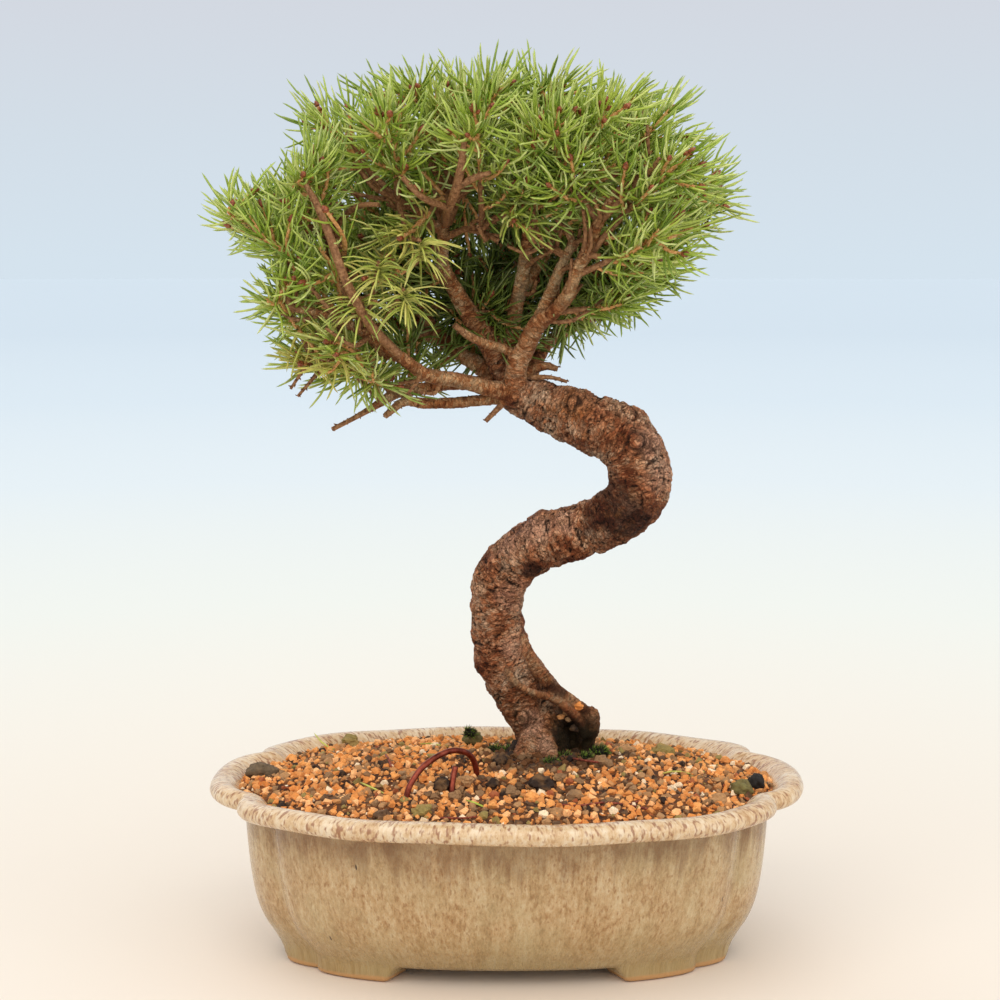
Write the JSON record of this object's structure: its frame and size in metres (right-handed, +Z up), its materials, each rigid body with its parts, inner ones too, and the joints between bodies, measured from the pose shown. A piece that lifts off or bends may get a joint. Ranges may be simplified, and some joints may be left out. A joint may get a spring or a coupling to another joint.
{
  "type": "spruce bonsai",
  "caption": "Small spruce bonsai with an S-curved trunk and a rounded crown of short green needles, in a lobed oval glazed pot of coarse grit on four corner feet.",
  "frame": {"origin": "on the surface the pot stands on, below the middle of the pot", "axes": "+Z up; X along the pot's long side; the tree's front faces -Y"},
  "size_m": [0.1998, 0.1408, 0.3075],
  "materials": {
    "pot_glaze": "cream to tan glaze with brown streaks and specks, glossy lip, bare clay under the feet",
    "grit": "matt orange, brown and dark grains of 2 to 5 mm",
    "bark": "rough flaky reddish brown bark",
    "needles": "satin fresh green needles on orange-tan shoots",
    "tie_wire": "copper-brown anodised",
    "drain_mesh": "black plastic net",
    "stone": "matt weathered pebbles, one of them mossy"
  },
  "bodies": {
    "root": {"drain_mesh_left": "drain_mesh", "drain_mesh_right": "drain_mesh", "pot": "pot_glaze", "soil": "grit", "spray_01": "needles", "spray_02": "needles", "spray_03": "needles", "spray_04": "needles", "spray_05": "needles", "spray_06": "needles", "spray_07": "needles", "spray_08": "needles", "spray_09": "needles", "spray_10": "needles", "spray_11": "needles", "spray_12": "needles", "spray_13": "needles", "spray_14": "needles", "spray_15": "needles", "spray_16": "needles", "spray_17": "needles", "spray_18": "needles", "spray_19": "needles", "spray_20": "needles", "spray_21": "needles", "spray_22": "needles", "spray_23": "needles", "spray_24": "needles", "spray_25": "needles", "spray_26": "needles", "spray_27": "needles", "spray_28": "needles", "spray_29": "needles", "spray_30": "needles", "spray_31": "needles", "spray_32": "needles", "spray_33": "needles", "spray_34": "needles", "spray_35": "needles", "spray_36": "needles", "spray_37": "needles", "spray_38": "needles", "spray_39": "needles", "spray_40": "needles", "spray_41": "needles", "spray_42": "needles", "spray_43": "needles", "spray_44": "needles", "spray_45": "needles", "spray_46": "needles", "stone_dark_right": "stone", "stone_flat_left": "stone", "stone_mossy": "stone", "stone_olive_right": "stone", "tie_wire_arch": "tie_wire", "tie_wire_leg": "tie_wire", "tree": "bark"}
  },
  "joints": []
}
